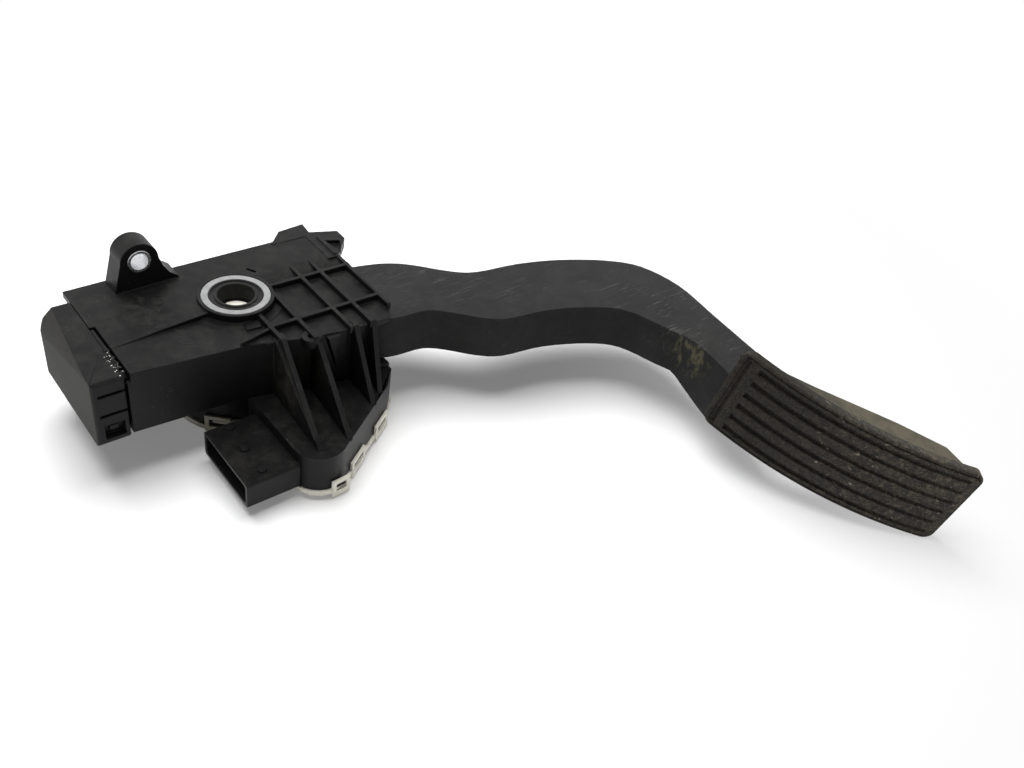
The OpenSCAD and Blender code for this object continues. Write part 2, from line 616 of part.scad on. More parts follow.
module inner_spring() color(steel) coil(spring_d2, wire_2, seat_x - 1, shoe_x0, 9);
// rubber stops, each with its face along the arm's edge where they meet
module idle_bumper() color("#2a2a2a") slab(-21, -12)
    polygon([[29, -33.05], [38, -33.65], [38, -30.7], [29, -27]]);
module full_stop_bumper() color("#2a2a2a") slab(-21, -12)
    polygon([[27, 16.74], [37, 18.03], [37, body_y1 - wall], [27, body_y1 - wall]]);

housing();
end_cap();
mount_sleeves();
upper_bush();
lower_bush();
hub_collar();
pedal_arm();
pad_cover();
sensor_rotor();
sensor_magnet();
circuit_board();
board_parts();
contact_pins();
sensor_cover();
cover_seal();
rotor_seal();
thrust_washer();
friction_shoe();
outer_spring();
inner_spring();
idle_bumper();
full_stop_bumper();
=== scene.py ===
import json
import math

import bpy
import numpy as np
from bpy.props import FloatProperty, FloatVectorProperty, IntProperty, PointerProperty
from mathutils import Matrix, Vector

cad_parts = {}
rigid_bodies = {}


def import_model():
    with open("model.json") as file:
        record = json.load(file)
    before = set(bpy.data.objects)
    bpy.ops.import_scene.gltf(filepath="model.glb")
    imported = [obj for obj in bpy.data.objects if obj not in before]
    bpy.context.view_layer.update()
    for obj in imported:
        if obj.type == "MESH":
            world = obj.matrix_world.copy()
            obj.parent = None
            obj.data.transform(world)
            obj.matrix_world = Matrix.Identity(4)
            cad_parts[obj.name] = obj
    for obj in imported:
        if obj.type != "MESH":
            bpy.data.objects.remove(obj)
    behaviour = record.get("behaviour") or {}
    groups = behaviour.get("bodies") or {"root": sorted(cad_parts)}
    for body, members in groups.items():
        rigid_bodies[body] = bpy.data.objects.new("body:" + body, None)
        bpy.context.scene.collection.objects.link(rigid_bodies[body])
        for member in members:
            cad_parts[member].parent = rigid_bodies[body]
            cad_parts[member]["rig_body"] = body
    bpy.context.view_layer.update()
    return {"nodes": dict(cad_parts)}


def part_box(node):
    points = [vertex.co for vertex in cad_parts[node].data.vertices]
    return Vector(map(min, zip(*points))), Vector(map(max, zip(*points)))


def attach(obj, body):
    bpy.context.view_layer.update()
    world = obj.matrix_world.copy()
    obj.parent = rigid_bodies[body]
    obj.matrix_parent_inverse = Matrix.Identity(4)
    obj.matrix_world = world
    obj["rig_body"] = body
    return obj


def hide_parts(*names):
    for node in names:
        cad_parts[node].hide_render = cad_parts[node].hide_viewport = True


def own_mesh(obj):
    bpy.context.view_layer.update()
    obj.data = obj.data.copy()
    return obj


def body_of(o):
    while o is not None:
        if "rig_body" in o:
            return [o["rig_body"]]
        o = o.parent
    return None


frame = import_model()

bl_info = {
    "name": "Accelerator pedal module",
    "version": (1, 0, 0),
    "blender": (4, 5, 0),
    "location": "View3D > Sidebar > Pedal",
    "description": "Ribbed housing, sprung arm and grooved foot pad with their finishes",
    "category": "Object",
}

MM = 0.001


# shader maths

class Wire:
    """A shader value that adds its own Math nodes when it is used in a sum."""

    def __init__(self, nodes, socket):
        self.nodes = nodes
        self.socket = socket

    def _math(self, operation, a, b):
        return self.nodes.node("ShaderNodeMath", {"operation": operation}, {0: a, 1: b})

    def __add__(self, other):
        return self._math("ADD", self, other)

    __radd__ = __add__

    def __sub__(self, other):
        return self._math("SUBTRACT", self, other)

    def __rsub__(self, other):
        return self._math("SUBTRACT", other, self)

    def __mul__(self, other):
        return self._math("MULTIPLY", self, other)

    __rmul__ = __mul__

    def most(self, other):
        """The larger of two values."""
        return self._math("MAXIMUM", self, other)

    def least(self, other):
        """The smaller of two values."""
        return self._math("MINIMUM", self, other)

    def ramp(self, low, high, at_low=0.0, at_high=1.0):
        """Smooth step from at_low, where the value is low, to at_high, where it is high."""
        return self.nodes.node("ShaderNodeMapRange",
                               {"interpolation_type": "SMOOTHSTEP", "clamp": True},
                               {"Value": self, "From Min": low, "From Max": high,
                                "To Min": at_low, "To Max": at_high})


class Nodes:
    """The nodes of a material or a world."""

    def __init__(self, tree, output):
        self.tree = tree
        self.tree.nodes.clear()
        self.output = self.tree.nodes.new(output)

    def node(self, kind, settings=None, sockets=None, out=0):
        """Adds a node: its settings come first, then the values or links of its sockets."""
        made = self.tree.nodes.new(kind)
        for key, value in (settings or {}).items():
            setattr(made, key, value)
        for key, value in (sockets or {}).items():
            self.feed(made.inputs[key], value)
        return Wire(self, made.outputs[out])

    def feed(self, socket, value):
        """Links a wire to a socket, or writes a plain value on it."""
        if isinstance(value, Wire):
            self.tree.links.new(value.socket, socket)
        else:
            socket.default_value = value

    def ray(self, *kinds):
        """1 for rays of the given kinds and 0 for the others."""
        seen = self.node("ShaderNodeLightPath", out=kinds[0])
        for kind in kinds[1:]:
            seen = seen.most(self.node("ShaderNodeLightPath", out=kind))
        return seen


BUMP_DEPTH = 0.0004                         # metres of relief for a height of 1


class Finish(Nodes):
    """A procedural material built on one Principled shader."""

    def __init__(self, name, metallic=0.0, coat=0.0, shine=0.5):
        self.material = bpy.data.materials.new(name)
        self.material.use_nodes = True
        super().__init__(self.material.node_tree, "ShaderNodeOutputMaterial")
        self.shader = self.tree.nodes.new("ShaderNodeBsdfPrincipled")
        self.shader.inputs["Metallic"].default_value = metallic
        self.shader.inputs["Coat Weight"].default_value = coat
        self.shader.inputs["Specular IOR Level"].default_value = shine
        self.tree.links.new(self.shader.outputs[0], self.output.inputs["Surface"])
        self.place = self.node("ShaderNodeTexCoord", out="Object")

    def noise(self, scale, detail=3.0, rough=0.55, distort=0.0, where=None):
        """Cloudy noise with the given number of cells per metre."""
        return self.node("ShaderNodeTexNoise", {"noise_dimensions": "3D"},
                         {"Vector": where or self.place, "Scale": scale, "Detail": detail,
                          "Roughness": rough, "Distortion": distort}, out="Fac")

    def cells(self, scale):
        """Distance to the nearest of scattered points, with cells per metre."""
        return self.node("ShaderNodeTexVoronoi", {"feature": "F1"},
                         {"Vector": self.place, "Scale": scale}, out="Distance")

    def stretched(self, turn, scale):
        """Object coordinates turned by degrees and stretched, for scratches along one way."""
        return self.node("ShaderNodeMapping", {},
                         {"Vector": self.place, "Rotation": [math.radians(t) for t in turn],
                          "Scale": scale}, out="Vector")

    def along(self, start, way):
        """Distance in metres from a point along a unit direction."""
        moved = self.node("ShaderNodeVectorMath", {"operation": "SUBTRACT"},
                          {0: self.place, 1: start})
        return self.node("ShaderNodeVectorMath", {"operation": "DOT_PRODUCT"},
                         {0: moved, 1: way}, out="Value")

    def near(self, centre, radius, soft):
        """1 within a ball round a point, falling to 0 over the soft distance outside it."""
        gap = self.node("ShaderNodeVectorMath", {"operation": "DISTANCE"},
                        {0: self.place, 1: centre}, out="Value")
        return gap.ramp(radius, radius + soft, 1.0, 0.0)

    def facing(self, axis="Z"):
        """One part of the true surface direction, Z for faces that look up."""
        normal = self.node("ShaderNodeNewGeometry", out="Normal")
        return self.node("ShaderNodeSeparateXYZ", {}, {0: normal}, out=axis)

    def colour(self, mask, low, high):
        """Mixes two colours, which may be wires, by a mask."""
        low, high = (part if isinstance(part, Wire) else (*part, 1.0) for part in (low, high))
        return self.node("ShaderNodeMix", {"data_type": "RGBA"},
                         {"Factor": mask, 6: low, 7: high}, out=2)

    def surface(self, colour, rough, height, strength=0.2):
        """Feeds the shader with a colour, a roughness and, through one Bump node, a relief."""
        self.feed(self.shader.inputs["Base Color"], colour)
        self.feed(self.shader.inputs["Roughness"], rough)
        bump = self.node("ShaderNodeBump", {}, {"Height": height, "Strength": strength,
                                                "Distance": BUMP_DEPTH}, out="Normal")
        self.feed(self.shader.inputs["Normal"], bump)
        return self.material


# places of single marks, in metres
CAP_SLIT = (-0.0548, -0.016, -0.003)        # middle of the painted glints (painted highlights) along the end cap's slit
CAP_END = (-0.055, 0.0, 0.0)                # past this, what faces left is duller
TRAY_TOP = (0.0, 0.0, -0.024)               # below this, what faces up is duller
FIN_GRIME = (0.004, -0.040, -0.016)         # dirt between the front wall and the first fin
ROUNDELS = (((-0.0278, 0.0104, -0.0018), 0.0034), ((-0.0262, -0.0133, -0.0018), 0.0040))
KNEE = (0.163, -0.100, -0.001)              # where the arm is scratched most
KNEE_DIRT = (0.1545, -0.1075, -0.0125)      # olive dirt under the crease
COVER_SHADE = (-0.014, -0.026, -0.042)      # painted shade on the cover's left end, where the housing shades it


def scaled(colour, factor):
    """A colour times a number."""
    return [part * factor for part in colour]


def moulded_nylon(look):
    """Matt black glass-filled nylon: fine grain, flow marks, a film of dust on what faces up,
    painted highlights as glints along the end cap's slit and two bare moulded rings on the deck."""
    f = Finish("moulded_nylon", shine=0.16)
    grain = f.noise(2600, 3, 0.6)
    flow = f.noise(75, 5, 0.65, 0.8)
    up = f.facing()
    specks = f.cells(700).ramp(0.06, 0.12, 1.0, 0.0) * f.noise(70, 2).ramp(0.58, 0.66)
    film = up.ramp(0.2, 0.95) * f.noise(130, 5, 0.75, 0.5).ramp(0.42, 0.72)
    dust = (film * look.dust).least(1.0)
    grime = (f.near(FIN_GRIME, 0.004, 0.012) * f.noise(260, 4, 0.7).ramp(0.38, 0.62)
             * up.ramp(0.3, 0.7, 1.0, 0.0))
    # painted highlights: pale glint dots mixed into the base colour along the end cap's slit
    slit = f.along(CAP_SLIT, (1, 0, 0))
    reach = f.along(CAP_SLIT, (0, 1, 0))
    painted_glints = (slit.ramp(-0.0016, -0.001) * slit.ramp(0.0012, 0.0016, 1.0, 0.0)
              * reach.ramp(-0.0085, -0.0075) * reach.ramp(0.006, 0.009, 1.0, 0.0)
              * f.near(CAP_SLIT, 0.010, 0.001) * f.noise(420, 2, 0.5).ramp(0.48, 0.56)
              * f.cells(1150).ramp(0.22, 0.32, 1.0, 0.0))
    rings = 0.0
    for centre, radius in ROUNDELS:
        rings = (f.near(centre, radius, 0.0003) - f.near(centre, radius - 0.0006, 0.0003)
                 + f.near(centre, radius - 0.0016, 0.0003) * 0.5 + rings)
    end = f.facing("X").ramp(-0.95, -0.5, 1.0, 0.0) * f.along(CAP_END, (-1, 0, 0)).ramp(0, 0.004)
    low = f.along(TRAY_TOP, (0, 0, -1)).ramp(0, 0.004) * up.ramp(0.5, 0.9)
    base = f.colour(flow.ramp(0.35, 0.65), look.black, scaled(look.black, 1.6))
    base = f.colour(dust * 0.13, base, (0.1, 0.096, 0.088))
    base = f.colour((grime * 0.16 + end * 0.08).least(1.0), base, (0.1, 0.092, 0.06))
    base = f.colour(specks * 0.45, base, (0.28, 0.27, 0.25))
    base = f.colour(painted_glints * 0.9, base, (0.62, 0.62, 0.6))
    rough = (grain.ramp(0.3, 0.7, 0.36, 0.44) + dust * 0.16 + grime * 0.2 + end * 0.22
             + low * 0.45).least(0.95)
    return f.surface(base, rough, grain * 0.7 + flow * 0.8 + specks + rings * 1.2, 0.2)


def arm_nylon(look):
    """Satin grey-black nylon: mottled, with swept scuffs and fine scratches along the arm, olive
    dirt on the front of the crease and a dusty film on the back of the foot plate."""
    f = Finish("arm_nylon", shine=0.17)
    grain = f.noise(2100, 3, 0.6)
    cloud = f.noise(70, 5, 0.7, 0.5)
    up = f.facing()
    swept = f.noise(1.0, 4, 0.7, 0.3, f.stretched((0, 0, 14), (60, 900, 400)))
    cross = f.noise(1.0, 2, 0.5, 0.6, f.stretched((0, 0, 52), (110, 1500, 500)))
    hair = f.noise(1.0, 2, 0.5, 0.5, f.stretched((0, 0, 118), (120, 1700, 500)))
    knee = f.near(KNEE, 0.015, 0.018)
    scuff = swept.ramp(0.54, 0.74) * f.noise(48, 3, 0.6).ramp(0.42, 0.64)
    scratch = (cross.ramp(0.64, 0.67) * f.noise(60, 2).ramp(0.5, 0.6)
               + hair.ramp(0.65, 0.68) * f.noise(85, 2).ramp(0.55, 0.62)).least(1.0)
    wear = (scuff * 0.6 + scratch * knee.ramp(0.0, 1.0, 0.3, 2.0)).least(1.0) * look.scuffs
    wear = wear * up.ramp(-0.2, 0.9, 0.3, 1.0)
    base = f.colour(cloud.ramp(0.35, 0.68), look.grey, scaled(look.grey, 1.6))
    base = f.colour(wear * 0.4, base, (0.16, 0.16, 0.155))
    streak = f.noise(1.0, 3, 0.6, 0.4, f.stretched((0, 0, 60), (900, 260, 160)))
    dirt = (f.near(KNEE_DIRT, 0.006, 0.008) * streak.ramp(0.46, 0.62)
            * up.ramp(0.3, 0.7, 1.0, 0.12))
    base = f.colour(dirt * 0.4, base, (0.16, 0.15, 0.085))
    film = (past_pad_start(f).ramp(0.012, 0.05) * up.ramp(0.25, 0.7)
            * f.noise(120, 5, 0.75, 0.6).ramp(0.25, 0.6, 0.45, 1.0))
    base = f.colour(film * 0.8, base, (0.15, 0.134, 0.098))
    rough = (grain.ramp(0.3, 0.7, 0.38, 0.5) + wear * 0.15 + dirt * 0.3 + film * 0.3
             + up.ramp(0.1, 0.8, 0.22, 0.0)).least(0.95)
    return f.surface(base, rough, grain * 0.6 + cloud * 0.9 + wear * 1.2 + dirt * 2, 0.2)


def past_pad_start(f):
    """Distance in metres along the pad from its end at the arm."""
    return f.along([part * MM for part in PAD_AT], PAD_TURN[:, 1].tolist()) * -1.0


def pad_rubber(look):
    """Dark brown-grey rubber: stippled grain, pale scuffs along the pad that grow toward its far
    end, and small pale chips."""
    f = Finish("pad_rubber", shine=0.2)
    grain = f.noise(1500, 4, 0.75)
    pits = f.cells(1300)
    far = past_pad_start(f)
    scrape = f.noise(1.0, 4, 0.75, 0.5, f.stretched((0, 0, -61), (1500, 130, 1500)))
    fine = f.noise(480, 4, 0.75, 0.4)
    blotch = f.noise(110, 4, 0.65)
    marks = (scrape.ramp(0.5, 0.68) * 0.55 + fine.ramp(0.45, 0.7) * 0.5
             + blotch.ramp(0.5, 0.72) * 0.2).least(1.0)
    worn = far.ramp(0.02, 0.09, 0.2, 1.0) * marks
    nick = f.noise(1.0, 3, 0.6, 0.3, f.stretched((0, 0, -61), (420, 150, 420)))
    chip = nick.ramp(0.65, 0.68) * f.noise(75, 2).ramp(0.46, 0.54) * far.ramp(0.03, 0.045)
    base = f.colour(grain.ramp(0.38, 0.62), scaled(look.brown, 0.3), scaled(look.brown, 2.2))
    base = f.colour(worn * look.dust, base, (0.3, 0.25, 0.17))
    base = f.colour(chip * 0.55, base, (0.42, 0.37, 0.28))
    rough = (grain.ramp(0.3, 0.7, 0.48, 0.66) + far.ramp(0.0, 0.06, 0.22, 0.0)).least(0.95)
    return f.surface(base, rough, grain * 1.6 + pits * 0.6 + chip * 2, 0.4)


def bearing_grey():
    """Light grey bearing plastic with soft clouds and faint brown stains of grease."""
    f = Finish("bearing_grey")
    cloud = f.noise(240, 4, 0.6)
    stain = f.noise(330, 5, 0.75).ramp(0.52, 0.72)
    base = f.colour(cloud.ramp(0.3, 0.7), (0.19, 0.192, 0.195), (0.25, 0.252, 0.252))
    base = f.colour(stain * 0.3, base, (0.21, 0.19, 0.155))
    return f.surface(base, cloud.ramp(0.3, 0.7, 0.34, 0.5), cloud + stain, 0.1)


def cream_plastic():
    """Cream-white cover plastic with soft mottling, handling marks and painted shade darkening its
    left end.
    """
    f = Finish("cream_plastic")
    cloud = f.noise(160, 4, 0.6)
    marks = f.noise(520, 4, 0.75).ramp(0.6, 0.74)
    base = f.colour(cloud.ramp(0.3, 0.7), (0.8, 0.77, 0.66), (0.88, 0.85, 0.75))
    base = f.colour(marks * 0.4, base, (0.3, 0.28, 0.23))
    # painted shade: the cover's left end under the housing is darkened in the colour
    base = f.colour(f.near(COVER_SHADE, 0.014, 0.012) * 0.75, base, (0.12, 0.1, 0.06))
    return f.surface(base, cloud.ramp(0.3, 0.7, 0.42, 0.55), cloud + f.noise(2200, 2) * 0.5, 0.1)


def bright_steel():
    """Turned steel with fine rings of brightness and a few dull spots."""
    f = Finish("bright_steel", metallic=1.0)
    lathe = f.noise(1.0, 3, 0.6, 0.0, f.stretched((0, 0, 0), (400, 9000, 400)))
    dull = f.noise(600, 4, 0.7).ramp(0.58, 0.72)
    base = f.colour(lathe.ramp(0.3, 0.7), (0.62, 0.63, 0.65), (0.78, 0.79, 0.8))
    base = f.colour(dull * 0.5, base, (0.36, 0.34, 0.31))
    return f.surface(base, lathe.ramp(0.3, 0.7, 0.2, 0.34) + dull * 0.2, lathe, 0.06)


def spring_steel():
    """Oiled spring wire, darker than the sleeves."""
    f = Finish("spring_steel", metallic=1.0)
    cloud = f.noise(700, 4, 0.65)
    base = f.colour(cloud.ramp(0.35, 0.7), (0.36, 0.36, 0.37), (0.52, 0.52, 0.53))
    return f.surface(base, cloud.ramp(0.3, 0.7, 0.25, 0.42), cloud, 0.08)


def seal_rubber():
    """Plain black rubber of the stops and seals."""
    f = Finish("seal_rubber")
    grain = f.noise(1800, 3, 0.6)
    base = f.colour(grain.ramp(0.3, 0.7), (0.018, 0.018, 0.018), (0.032, 0.031, 0.03))
    return f.surface(base, grain.ramp(0.3, 0.7, 0.6, 0.75), grain, 0.2)


def magnet_ferrite():
    """Moulded ferrite with a dark sparkle."""
    f = Finish("magnet_ferrite", metallic=0.3)
    grain = f.noise(2500, 3, 0.7)
    base = f.colour(grain.ramp(0.4, 0.7), (0.05, 0.05, 0.055), (0.13, 0.13, 0.14))
    return f.surface(base, grain.ramp(0.3, 0.7, 0.4, 0.6), grain, 0.2)


def board_laminate():
    """Green board: solder mask over faint copper tracks."""
    f = Finish("board_laminate", coat=0.3)
    tracks = f.node("ShaderNodeTexBrick", {"offset": 0.5},
                    {"Vector": f.place, "Scale": 90.0, "Mortar Size": 0.012}, out="Fac")
    cloud = f.noise(300, 3)
    base = f.colour(cloud.ramp(0.3, 0.7), (0.02, 0.12, 0.05), (0.03, 0.16, 0.07))
    base = f.colour(tracks * 0.5, base, (0.06, 0.26, 0.12))
    return f.surface(base, cloud.ramp(0.3, 0.7, 0.3, 0.42), tracks, 0.08)


def chip_black():
    """Matt black component bodies."""
    f = Finish("chip_black")
    grain = f.noise(3500, 2)
    base = f.colour(grain.ramp(0.3, 0.7), (0.02, 0.02, 0.021), (0.04, 0.04, 0.042))
    return f.surface(base, grain.ramp(0.3, 0.7, 0.5, 0.65), grain, 0.15)


def contact_gold():
    """Gold-washed contact pins."""
    f = Finish("contact_gold", metallic=1.0)
    cloud = f.noise(1500, 3)
    base = f.colour(cloud.ramp(0.3, 0.7), (0.62, 0.46, 0.2), (0.78, 0.62, 0.32))
    return f.surface(base, cloud.ramp(0.3, 0.7, 0.22, 0.35), cloud, 0.05)


SHADOW_AT = (0.03, -0.01)                   # middle of the shadows on the floor


def floor_paper(look):
    """White paper. What the camera or a reflection sees of it is drawn to plain white, a little
    round the part, so that the shadows stay, and wholly away from it."""
    f = Finish("floor_paper", shine=0.0)
    f.feed(f.shader.inputs["Base Color"], (*look.floor_colour, 1.0))
    f.feed(f.shader.inputs["Roughness"], 0.9)
    seen = f.ray("Is Camera Ray", "Is Glossy Ray")
    nearby = f.near((*SHADOW_AT, look.floor_z), 0.09, 0.36)
    glow = f.node("ShaderNodeEmission", {}, {"Color": (1, 1, 1, 1), "Strength": 1.0})
    both = f.node("ShaderNodeMixShader", {}, {0: seen * (1 - nearby * (1 - look.floor_lift)),
                                              1: Wire(f, f.shader.outputs[0]), 2: glow})
    f.feed(f.output.inputs["Surface"], both)
    return f.material


# surfaces

def turned(axis, degrees):
    """Rotation matrix about one axis as a numpy array."""
    return np.array(Matrix.Rotation(math.radians(degrees), 3, axis))


# the pad's upper corner at the arm, in millimetres, and its axes as columns
PAD_AT = (151.1, -132.6, 7.4)
PAD_TURN = turned("Z", 29.2) @ turned("X", 10.8) @ turned("Y", 1.7)


def new_piece(name, points, faces, body, material):
    """One mesh object from arrays of corners in millimetres and faces, riding on a body."""
    mesh = bpy.data.meshes.new(name)
    mesh.from_pydata((np.asarray(points) * MM).tolist(), [], [list(map(int, f)) for f in faces])
    mesh.polygons.foreach_set("use_smooth", np.full(len(mesh.polygons), True))
    mesh.update()
    mesh.materials.append(material)
    piece = bpy.data.objects.new(name, mesh)
    bpy.context.scene.collection.objects.link(piece)
    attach(piece, body)
    return piece


def grid_faces(rows, columns, around=False):
    """Quads of a grid of points stored row by row, closed round the columns if asked."""
    i, j = np.meshgrid(np.arange(rows - 1), np.arange(columns if around else columns - 1),
                       indexing="ij")
    k = (j + 1) % columns
    quads = np.stack([i * columns + j, i * columns + k, (i + 1) * columns + k,
                      (i + 1) * columns + j], -1)
    return quads.reshape(-1, 4)


def merged(node):
    """Corners in millimetres and triangles of a CAD node, its loose triangles joined at equal
    corners and those without area left out."""
    mesh = frame["nodes"][node].data
    corners = np.zeros(len(mesh.vertices) * 3)
    mesh.vertices.foreach_get("co", corners)
    loops = np.zeros(len(mesh.loops), int)
    mesh.loops.foreach_get("vertex_index", loops)
    keys, where = np.unique(np.round(corners.reshape(-1, 3) * 1e6).astype(np.int64), axis=0,
                            return_inverse=True)
    faces = where.ravel()[loops].reshape(-1, 3)
    whole = np.all(faces != np.roll(faces, 1, axis=1), axis=1)
    return keys * 1e-3, faces[whole]


def softened(node, name, material, width=0.3, segments=2, angle=35.0):
    """A joined copy of a CAD node with its flat faces made whole and its edges rounded."""
    points, faces = merged(node)
    piece = new_piece(name, points, faces, body_of(frame["nodes"][node])[0], material)
    flat = piece.modifiers.new("flat faces", "DECIMATE")
    flat.decimate_type = "DISSOLVE"
    flat.angle_limit = math.radians(0.4)
    edge = piece.modifiers.new("soft edges", "BEVEL")
    edge.width = width * MM
    edge.segments = segments
    edge.limit_method = "ANGLE"
    edge.angle_limit = math.radians(angle)
    edge.use_clamp_overlap = False
    edge.miter_outer = "MITER_ARC"
    even = piece.modifiers.new("even shading", "WEIGHTED_NORMAL")
    even.keep_sharp = True
    even.weight = 60
    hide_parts(node)
    return piece


def step(value, low, high):
    """Smooth step of an array from 0 at low to 1 at high: 3 t^2 - 2 t^3."""
    t = np.clip((value - low) / (high - low), 0, 1)
    return t * t * (3 - 2 * t)


def pad_cover_surface(shape):
    """The rubber cover. With y along and z across the pad, its face is an arc of radius
    r = (l^2 / 4 + s^2) / 2s, pressed in by four depths: a quarter circle at the rounded
    outline, a rim with a rounded gutter exp(-u^2) where it meets the raised face, a wider such
    gutter behind the bead at the arm, and a flat-bottomed groove at each centre, whose ends fade
    out and which thins toward the far end."""
    length, width, sag = shape.length / MM, shape.width / MM, shape.rise / MM
    corner, edge = shape.corner / MM, 1.0
    lip, lip_depth, skin = 1.5, 4.9, 2.22       # the lip that hugs the plate, and the rubber's wall
    near, far, side = shape.rim_near / MM, shape.rim_far / MM, shape.rim_side / MM
    first_groove, groove_slope = 4.2, 0.12
    fade_near, fade_far = (6.2, 6.8), (3.1, 3.9)    # past the rims, where the grooves run out
    radius = (length ** 2 / 4 + sag ** 2) / (2 * sag)
    # rows and columns of the grid: close together at the border, the gutters and the grooves
    border = np.array([0, 0.08, 0.2, 0.35, 0.55, 0.75, 1.0, 1.15, 1.3, 1.42, 1.54, 1.66, 1.8, 1.95,
                       2.2, 2.6, 3.2])
    centres = -first_groove - shape.groove_pitch / MM * np.arange(shape.grooves)
    half = shape.groove_width / MM / 2
    steps = np.array([-1.3, -1.15, -1.05, -0.95, -0.85, -0.7, -0.35, 0, 0.35, 0.7, 0.85, 0.95,
                      1.05, 1.15, 1.3])
    across = np.concatenate([-border, border - width, (centres[:, None] + steps * half).ravel(),
                             centres[:-1] - 3.1, centres[:-1] - 2.2, centres[:-1] - 4.0])
    across = np.unique(np.round(across[(across <= 0) & (across >= -width)], 3))[::-1]
    ends = np.array([5.8, 6.2, 6.4, 6.6, 6.8, 7.0, 7.2, 7.6])
    along = np.concatenate([-border, border - length, -near - ends,
                            -near + np.linspace(-3.6, 1.2, 33),
                            far + 0.4 + np.linspace(2.4, 3.8, 8) - length,
                            -np.linspace(3, length - 3, 120)])
    along = np.unique(np.round(along, 2))[::-1]
    y, z = np.meshgrid(along, across, indexing="ij")
    # rounded corners: a square corner of the grid is drawn into a quarter disc
    cy = np.clip(y, -length + corner, -corner)
    cz = np.clip(z, -width + corner, -corner)
    vy, vz = y - cy, z - cz
    reach = np.hypot(vy, vz)
    pull = np.where(reach > 1e-9, np.maximum(abs(vy), abs(vz)) / np.maximum(reach, 1e-9), 1.0)
    inside = corner - np.maximum(abs(vy), abs(vz))
    flat = np.minimum(np.minimum(-y, y + length), np.minimum(-z, z + width))
    d = np.where((abs(vy) > 0) | (abs(vz) > 0), inside, flat)
    # share of the way from the outline to the raised face: 1 at its edge
    rim = np.minimum(np.minimum(-y / near, (y + length) / far), np.minimum(-z, z + width) / side)
    seat = np.exp(-((-y - 1.5 * near) / 0.95) ** 2)
    seat = seat * step(np.minimum(-z, z + width), side, 2 * side)
    y, z = cy + vy * pull, cz + vz * pull
    round_off = edge - np.sqrt(np.maximum(edge ** 2 - np.maximum(edge - d, 0) ** 2, 0))
    drop = shape.rim_depth / MM * (1 - step(rim, 0.95, 1.2))
    gutter = drop + shape.gutter_depth / MM * np.exp(-((rim - 0.97) / 0.16) ** 2)
    gutter = np.maximum(gutter, shape.seat_depth / MM * seat)
    away = np.min(abs(z[..., None] - centres), -1)
    thin = 1.2 - 0.5 * np.clip(-y / length, 0, 1)
    groove = 1 - step(away, half * thin - groove_slope, half * thin + groove_slope)
    fade = step(-y - near, *fade_near) * step(y + length - far, *fade_far) * thin
    depth = np.maximum(shape.groove_depth / MM * groove * fade, gutter)
    front = radius - round_off - depth
    back = radius - np.where(d < lip, lip_depth, skin)

    def wrapped(r):
        # onto the arc round the axis across the pad
        a = np.arcsin(np.clip((y + length / 2) / radius, -1, 1))
        local = np.stack([radius - sag - r * np.cos(a), -length / 2 + r * np.sin(a), z], -1)
        return local @ PAD_TURN.T + np.array(PAD_AT)

    rows, columns = y.shape
    points = np.concatenate([wrapped(front).reshape(-1, 3), wrapped(back).reshape(-1, 3)])
    faces = grid_faces(rows, columns)
    count = rows * columns
    loop = np.concatenate([np.arange(columns), np.arange(1, rows) * columns + columns - 1,
                           (rows - 1) * columns + np.arange(columns - 2, -1, -1),
                           np.arange(rows - 2, 0, -1) * columns])
    after = np.roll(loop, -1)
    sides = np.stack([after, loop, loop + count, after + count], -1)
    return points, np.concatenate([faces, faces[:, ::-1] + count, sides])


# y and z of the springs' axis, then node, piece, outer diameter, wire and turns, in millimetres
SPRING_AXIS = (14, -16.5)
SPRINGS = (("outer_spring", "outer_coil", 18, 2, 7), ("inner_spring", "inner_coil", 11, 1.4, 9))


def coil_surface(diameter, wire, start, stop, turns):
    """A coil along x with closed ends. After t turns the wire's centre is at
    (x(t), y0 + q cos 2 pi t, z0 + q sin 2 pi t) and its section is a circle. x(t) grows by the
    wire in the first and the last turn, which lie against the seats, and by the pitch between."""
    steps, sides = 48, 14
    t = np.linspace(0, turns, turns * steps + 1)
    between = stop - start - 3 * wire
    x = np.interp(t, [0, 1, turns - 1, turns],
                  [wire / 2, 1.5 * wire, 1.5 * wire + between, 2.5 * wire + between])
    a, b = np.meshgrid(2 * math.pi * t, np.linspace(0, 2 * math.pi, sides, endpoint=False),
                       indexing="ij")
    q = (diameter - wire) / 2 + wire / 2 * np.cos(b)
    points = np.stack([start + x[:, None] + wire / 2 * np.sin(b), SPRING_AXIS[0] + q * np.cos(a),
                       SPRING_AXIS[1] + q * np.sin(a)], -1)
    caps = [list(range(sides))[::-1], [len(t) * sides - sides + k for k in range(sides)]]
    quads = grid_faces(len(t), sides, around=True)[:, ::-1]
    return points.reshape(-1, 3), [list(q) for q in quads] + caps


# user settings

class PedalHousingLook(bpy.types.PropertyGroup):
    """Finish of the housing's mouldings."""
    black: FloatVectorProperty(name="Black", description="Base colour of the housing",
                               subtype="COLOR", size=3, min=0, max=1,
                               default=(0.0036, 0.0036, 0.0036))
    dust: FloatProperty(name="Dust", description="How much dust lies on what faces up",
                        subtype="FACTOR", min=0, max=1.5, default=0.8)
    edge: FloatProperty(name="Edge radius", description="Rounding of moulded edges",
                        subtype="DISTANCE", min=0, max=0.0006, default=0.00028)


class PedalArmLook(bpy.types.PropertyGroup):
    """Finish of the pedal arm."""
    grey: FloatVectorProperty(name="Grey", description="Base colour of the arm", subtype="COLOR",
                              size=3, min=0, max=1, default=(0.0085, 0.0086, 0.0084))
    scuffs: FloatProperty(name="Scuffs", description="Strength of scuffs and scratches",
                          subtype="FACTOR", min=0, max=1.5, default=1.0)
    edge: FloatProperty(name="Edge radius", description="Rounding of the arm's edges",
                        subtype="DISTANCE", min=0, max=0.0006, default=0.0004)


